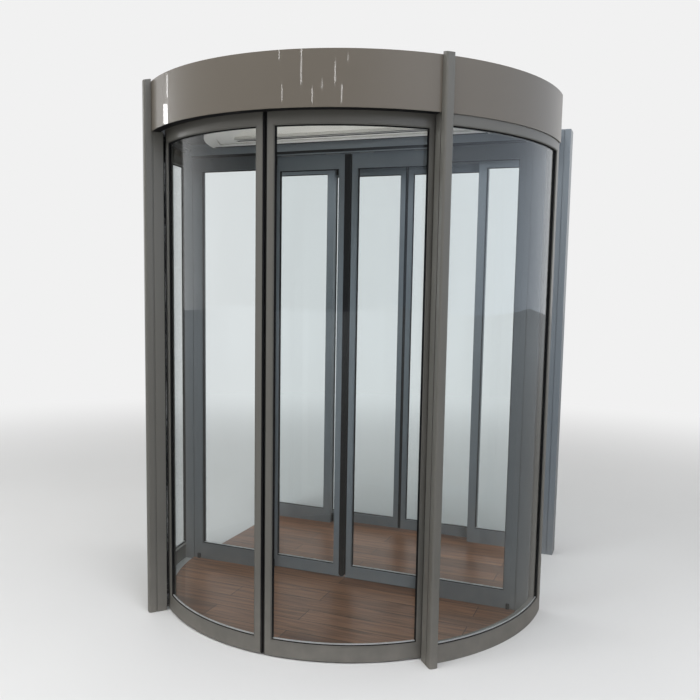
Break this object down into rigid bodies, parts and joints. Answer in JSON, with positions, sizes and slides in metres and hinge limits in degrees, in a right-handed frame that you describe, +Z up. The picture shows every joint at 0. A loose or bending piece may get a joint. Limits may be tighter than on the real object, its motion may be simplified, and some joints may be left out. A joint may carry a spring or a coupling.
{
  "type": "automatic half-round sliding door",
  "caption": "Half-round automatic entrance lobby with curved sliding glass leaves in front and straight sliding doors behind",
  "frame": {"origin": "on the floor at the axis of the curved front", "axes": "+Z up, -Y the way the curved front faces, +X to the right of someone who looks along +Y"},
  "size_m": [2, 1.8999, 2.4057],
  "materials": {
    "warm_paint": "satin warm grey powder coat",
    "cool_paint": "satin cool grey powder coat",
    "glass": "clear toughened float glass",
    "rubber": "black sealing profile",
    "steel": "mill finish track and rollers",
    "ceiling": "matt cream ceiling sheet",
    "boards": "sealed dark boards"
  },
  "bodies": {
    "frame": {"fascia_front": "warm_paint", "fascia_sides": "warm_paint", "canopy_rings": "warm_paint", "canopy_back": "warm_paint", "track_rails": "steel", "track_brackets": "steel", "ceiling_panel": "ceiling", "ceiling_trim": "cool_paint", "drive_unit": "steel", "control_box": "cool_paint", "front_posts": "warm_paint", "side_frames": "warm_paint", "side_glass": "glass", "mid_jambs": "cool_paint", "mid_header": "cool_paint", "mid_screens": "cool_paint", "mid_screen_glass": "glass", "rear_jambs": "cool_paint", "rear_header": "cool_paint", "rear_screens": "cool_paint", "rear_screen_glass": "glass", "guide_blocks": "rubber", "floor_boards": "boards"},
    "curved_right": {"curved_leaf_right": "warm_paint", "curved_glass_right": "glass", "curved_nose_right": "rubber", "curved_carriages_right": "steel"},
    "mid_right": {"mid_leaf_right": "cool_paint", "mid_leaf_glass_right": "glass", "mid_nose_right": "rubber", "mid_carriages_right": "steel"},
    "rear_right": {"rear_leaf_right": "cool_paint", "rear_leaf_glass_right": "glass", "rear_nose_right": "rubber", "rear_carriages_right": "steel"},
    "curved_left": {"curved_leaf_left": "warm_paint", "curved_glass_left": "glass", "curved_nose_left": "rubber", "curved_carriages_left": "steel"},
    "mid_left": {"mid_leaf_left": "cool_paint", "mid_leaf_glass_left": "glass", "mid_nose_left": "rubber", "mid_carriages_left": "steel"},
    "rear_left": {"rear_leaf_left": "cool_paint", "rear_leaf_glass_left": "glass", "rear_nose_left": "rubber", "rear_carriages_left": "steel"}
  },
  "joints": [
    {"name": "curved_right_run", "type": "hinge", "parent": "frame", "child": "curved_right", "pos_m": [0, 0, 2.23], "axis": [0, 0, 1], "range_deg": [0, 40]},
    {"name": "curved_left_run", "type": "hinge", "parent": "frame", "child": "curved_left", "pos_m": [0, 0, 2.23], "axis": [0, 0, 1], "range_deg": [-40, 0]},
    {"name": "mid_right_run", "type": "slide", "parent": "frame", "child": "mid_right", "axis": [1, 0, 0], "range_m": [0, 0.408]},
    {"name": "mid_left_run", "type": "slide", "parent": "frame", "child": "mid_left", "axis": [-1, 0, 0], "range_m": [0, 0.408]},
    {"name": "rear_right_run", "type": "slide", "parent": "frame", "child": "rear_right", "axis": [1, 0, 0], "range_m": [0, 0.385]},
    {"name": "rear_left_run", "type": "slide", "parent": "frame", "child": "rear_left", "axis": [-1, 0, 0], "range_m": [0, 0.385]}
  ],
  "couplings": [
    {"joint": "curved_left_run", "follows": "curved_right_run", "ratio": -1},
    {"joint": "mid_left_run", "follows": "mid_right_run", "ratio": 1},
    {"joint": "rear_left_run", "follows": "rear_right_run", "ratio": 1}
  ]
}
